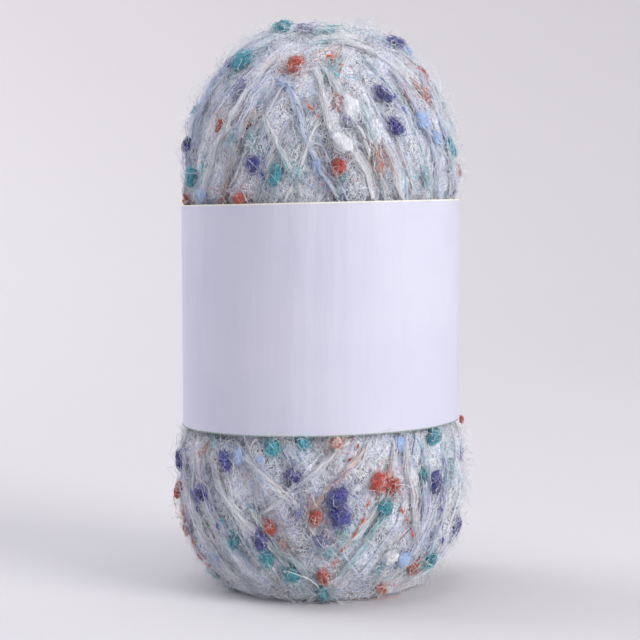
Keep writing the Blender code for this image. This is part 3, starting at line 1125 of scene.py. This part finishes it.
def lumpy(rng, ball, unevenness):
    """The points of a ball, pushed in and out."""
    lumps = np.ones(len(ball))
    for pitch in NUB_LUMPS:
        lumps += unevenness * np.sin(ball @ (pitch * unit(rng.normal(size=3))) + rng.uniform(0, math.tau))
    return ball * lumps[:, None]


def curled(rng, count, steps=6):
    """Short arcs that lie round the outer side of a ball of radius 1, with their ends bent in."""
    start = rng.normal(size=(count, 3))
    start[:, 2] = np.abs(start[:, 2]) + 0.2
    start = unit(start)
    swing = unit(np.cross(start, rng.normal(size=(count, 3))))
    angle = np.linspace(-1.0, 1.0, steps + 1) * rng.uniform(0.35, 0.9, (count, 1))
    arcs = start[:, None] * np.cos(angle)[..., None] + swing[:, None] * np.sin(angle)[..., None]
    arcs = unit(arcs + rng.normal(0.0, 0.13, arcs.shape))
    reach = 0.84 + 0.34 * np.cos(2 * angle) * rng.uniform(0.0, 1.0, (count, 1))
    reach += rng.normal(0.0, 0.07, reach.shape)
    return arcs * reach[..., None]


def make_nubs(nubs, tree, material):
    """Each nub: a lumpy body, a cage of curled fibres and loose hairs of its colour beside it."""
    rng = np.random.default_rng(51)
    balls = unit_ball(3), unit_ball(2)
    bodies, puffs, curls, hairs = Heap(), Heap(), Heap(), Heap()
    pale = NUMBERS["white"]
    for number, (place, outward, way, colour, length, width) in enumerate(nubs):
        extra = int(number >= len(FRONT_NUBS))
        faint = colour.startswith("faint")
        colour = colour.split()[-1]
        smooth = colour in SMOOTH_NUBS
        main, second, mist = (NUMBERS[name] for name in (colour, *SHADES[colour]))
        way = unit(way - outward * np.dot(way, outward))
        axes = np.stack([way, np.cross(outward, way), outward])
        size = np.array([length / 2, width / 2, (0.34 if extra or smooth else 0.42) * width])
        centre = place + outward * (0.5 if colour == "white" else 0.7) * size[2]

        ball, faces = balls[extra]
        ball = lumpy(rng, ball, 0.12 if colour == "white" else 0.10)
        body = centre + (ball * size * NUB_BODIES[faint]) @ axes
        off_floor(body)
        if smooth:
            puffs.add(body, faces, main, 1.0)
        else:
            bodies.add(body, faces, mist if faint else main, rng.uniform(0.3, 0.9))

        count = CURL_COUNTS[extra] // (2 if smooth else 1)
        line = centre + (curled(rng, count) * size) @ axes
        off_floor(line)
        hues = rng.choice([main, second, mist, pale], count, p=CURL_SHARES[faint])
        curls.add_fibres(line, rng.uniform(*FIBRE_RADII, count), hues, rng.uniform(0.2, 1.0, count))

        count = HAIR_COUNTS[extra]
        places = place + rng.normal(0.0, 0.28, (count, 1)) * length * way
        places = places + rng.normal(0.0, 0.7 * MM, (count, 3))
        ways = way * rng.choice([-1.0, 1.0], (count, 1)) + rng.normal(0.0, 0.3, (count, 3))
        hues = rng.choice([main, mist, pale], count, p=HAIR_SHARES)
        walked_fibres(hairs, tree, rng, places, unit(ways), hues,
                      length=(5 * MM, 11 * MM), bend=0.45, rise=(0.5 * MM, 2.8 * MM))
    bodies.piece("nubs", nub_material(), "palette")
    puffs.piece("smooth_nubs", bpy.data.materials["spun_strand"], "palette")
    curls.piece("nub_curls", material)
    hairs.piece("nub_hairs", material)


def laid(tree, pixels, lift, pitch):
    """A line through these pixels of the photograph, lifted off the ball.

    Returns its points, its outward directions and how far along it the points are.
    """
    line, outward = photo_line(tree, pixels, 4.0, 2)
    line, outward, at = spaced(line + outward * lift, outward, pitch)
    off_floor(line, 2 * LOWEST)
    return line, unit(outward), at


def wind_threads(rng, runs, heap):
    """Adds thin threads wound round some strands, so that they show as rows of dashes."""
    long_runs = [run for run in runs if len(run[0]) > 12]
    for i in rng.choice(len(long_runs), WOUND_COUNT, replace=False):
        strand, outward, _, thick, _ = long_runs[i]
        strand, others, at = spaced(strand, np.column_stack([outward, thick]), 0.9 * MM)
        first = int(rng.uniform(0.0, 0.5) * len(at))
        last = first + int(rng.uniform(25, 70))
        strand, others, at = strand[first:last], others[first:last], at[first:last]
        if len(at) < 12:
            continue
        outward, thick = unit(others[:, :3]), others[:, 3]
        turn = at * (math.tau / WOUND_PITCH) + waves(rng, at, 0.5, 16 * MM)
        spoke = outward * np.cos(turn)[:, None] + sideways(strand, outward) * np.sin(turn)[:, None]
        line = strand + spoke * (thick + 0.12 * MM)[:, None]
        hue = NUMBERS[rng.choice(WOUND_HUES)]
        off_floor(line)
        radius = np.full((1, len(at)), 0.13 * MM)
        heap.add_tubes(tucked(line, 0.2 * MM)[None], radius, 4, [hue], [rng.uniform(0.3, 1.0)])


def make_threads(tree, runs, material):
    """Thin coloured threads, most of them dashed, and the loose white loop low on the front."""
    rng = np.random.default_rng(61)
    heap = Heap()
    wind_threads(rng, runs, heap)
    for hue, pixels in SEEN_THREADS:
        line, _, at = laid(tree, pixels, 1.1 * MM, 0.7 * MM)
        line += 0.12 * MM * rng.normal(size=line.shape)
        dashes = np.clip(np.sin(at * (math.tau / DASH_PITCH) + rng.uniform(0, math.tau)), 0.0, 1.0)
        radius = 0.05 * MM + (0.40 * MM * dashes) * rng.uniform(0.6, 1.1, len(at))
        heap.add_tubes(line[None], radius[None], 5, [NUMBERS[hue]], [rng.uniform(0.3, 1.0)])
    line, outward, at = laid(tree, LOOSE_LOOP, 2.6 * MM, 0.8 * MM)
    line += outward * 1.2 * MM * np.sin(math.pi * at / at[-1])[:, None]
    heap.add_tubes(line[None], np.full((1, len(at)), 0.10 * MM), 5, [NUMBERS["white"]], [1.0])
    heap.piece("coloured_threads", material)


def make_band():
    """The paper band: one strip wrapped round the ball, its ends lapped at the back."""
    lap = math.radians(16.0)
    outwards = 0.42 * MM
    steps, rows = 128, 16
    turn = np.linspace(math.pi - lap / 2, 3 * math.pi + lap / 2, steps + 1)
    share = np.linspace(0.0, 1.0, steps + 1)
    turn_grid, up_grid = np.meshgrid(turn, np.linspace(0.0, 1.0, rows + 1), indexing="ij")
    creases = 0.060 * MM * np.sin(9 * turn_grid + 1.3 * np.sin(3.1 * up_grid + turn_grid))
    creases += 0.036 * MM * np.sin(23 * turn_grid + 2.2 * np.sin(5 * up_grid))
    reach = BAND_RADIUS - PAPER - 0.1 * MM + share[:, None] * outwards + creases
    height = BAND_FOOT + (BAND_TOP - BAND_FOOT) * up_grid
    walls = placed(height, reach, turn_grid), placed(height, reach + PAPER, turn_grid)
    points = np.concatenate([wall.reshape(-1, 3) for wall in walls])
    number = np.arange((steps + 1) * (rows + 1)).reshape(steps + 1, rows + 1)
    shift = number.size
    a, b, c, d = number[:-1, :-1], number[1:, :-1], number[1:, 1:], number[:-1, 1:]
    inner = np.stack([a, d, c, b], axis=-1).reshape(-1, 4)
    outer = np.stack([a, b, c, d], axis=-1).reshape(-1, 4) + shift
    loop = np.concatenate([number[:, 0], number[-1, 1:], number[-2::-1, -1], number[0, -2:0:-1]])
    following = np.roll(loop, -1)
    rim = np.stack([loop, following, following + shift, loop + shift], axis=-1)
    quads = np.concatenate([inner, outer, rim])
    triangles = np.concatenate([quads[:, [0, 1, 2]], quads[:, [0, 2, 3]]])
    made = new_piece("paper_band", points, triangles, paper_material())
    made.data.set_sharp_from_angle(angle=math.radians(40.0))
    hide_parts("ball_band")


# Stage

def make_backdrop():
    """A pale floor that rises in one wide curve into a wall all round."""
    flat, wall, high = 0.7, 2.6, 2.4
    rows = [(0.0, 0.0), (0.2, 0.0), (0.45, 0.0), (flat, 0.0)]
    for t in np.linspace(0.0, math.pi / 2, 13)[1:]:
        rows.append((flat + (wall - flat) * math.sin(t), (wall - flat) * (1 - math.cos(t))))
    rows.append((wall, high + 1.0))
    steps = 96
    turn = np.arange(steps) * (math.tau / steps)
    points = [(0.0, 0.0, 0.0)]
    faces = []
    for reach, height in rows[1:]:
        points += [(reach * math.cos(t), reach * math.sin(t), height) for t in turn]
    for k in range(steps):
        faces.append((0, 1 + k, 1 + (k + 1) % steps))
    for r in range(len(rows) - 2):
        low, top = 1 + r * steps, 1 + (r + 1) * steps
        for k in range(steps):
            m = (k + 1) % steps
            faces.append((low + k, top + k, top + m, low + m))
    mesh = bpy.data.meshes.new("backdrop")
    mesh.from_pydata(points, [], faces)
    mesh.shade_smooth()
    mesh.materials.append(backdrop_material())
    add_object("backdrop", mesh)


def add_light(name, place, aim, side, power, colour):
    """A square soft light."""
    lamp = bpy.data.lights.new(name, "AREA")
    lamp.shape = "SQUARE"
    lamp.size = side
    lamp.energy = power
    lamp.color = colour
    made = add_object(name, lamp)
    made.location = place
    made.rotation_euler = (Vector(aim) - Vector(place)).to_track_quat("-Z", "Y").to_euler()


def make_lights():
    world = bpy.data.worlds.new("soft_room")
    world.use_nodes = True
    sky = world.node_tree.nodes["Background"]
    sky.inputs["Color"].default_value = (0.93, 0.93, 1.0, 1.0)
    sky.inputs["Strength"].default_value = 0.50
    bpy.context.scene.world = world
    middle = (0.0, 0.0, 0.08)
    add_light("key", (1.15, -0.95, 0.75), middle, 0.8, 17.4, (1.0, 0.99, 0.98))
    add_light("fill", (-1.1, 0.46, 0.9), middle, 0.8, 7.8, (0.90, 0.92, 1.0))
    add_light("top", (-0.1, -0.1, 1.6), middle, 1.2, 7.6, (0.98, 0.98, 1.0))
    add_light("wall_left", (-0.9, 0.9, 1.4), (-0.5, 2.4, 0.6), 0.9, 10.0, (1.0, 0.98, 0.98))
    add_light("wall_right", (0.9, 0.9, 1.4), (0.5, 2.4, 1.2), 0.9, 1.4, (1.0, 0.98, 0.98))


def make_camera():
    camera = bpy.data.cameras.new("camera")
    camera.sensor_width = SENSOR
    camera.lens = LENS
    camera.clip_start = 0.01
    made = add_object("camera", camera)
    made.location = CAMERA_PLACE
    made.rotation_euler = (math.pi / 2 - CAMERA_PITCH, 0.0, 0.0)
    bpy.context.scene.camera = made


def surface_tree(mesh):
    return BVHTree.FromPolygons([v.co for v in mesh.vertices], [p.vertices for p in mesh.polygons])


def main():
    bpy.context.scene.view_settings.view_transform = "Standard"
    make_camera()
    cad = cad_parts["yarn_ball"]
    solid = surface_tree(cad.data)
    outline = ball_outline(solid)
    core = make_core(cad)
    surface = surface_tree(core.data)
    runs = lay_strands(outline) + seen_strands(surface)
    nubs = nub_list(surface, runs)
    material = fibre_material()
    make_strands(runs)
    make_mat(core, surface, nubs, material)
    make_streaks(runs, nubs, material)
    make_halo(core, surface, material)
    make_nubs(nubs, surface, material)
    make_threads(surface, runs, material)
    make_band()
    make_backdrop()
    make_lights()


main()
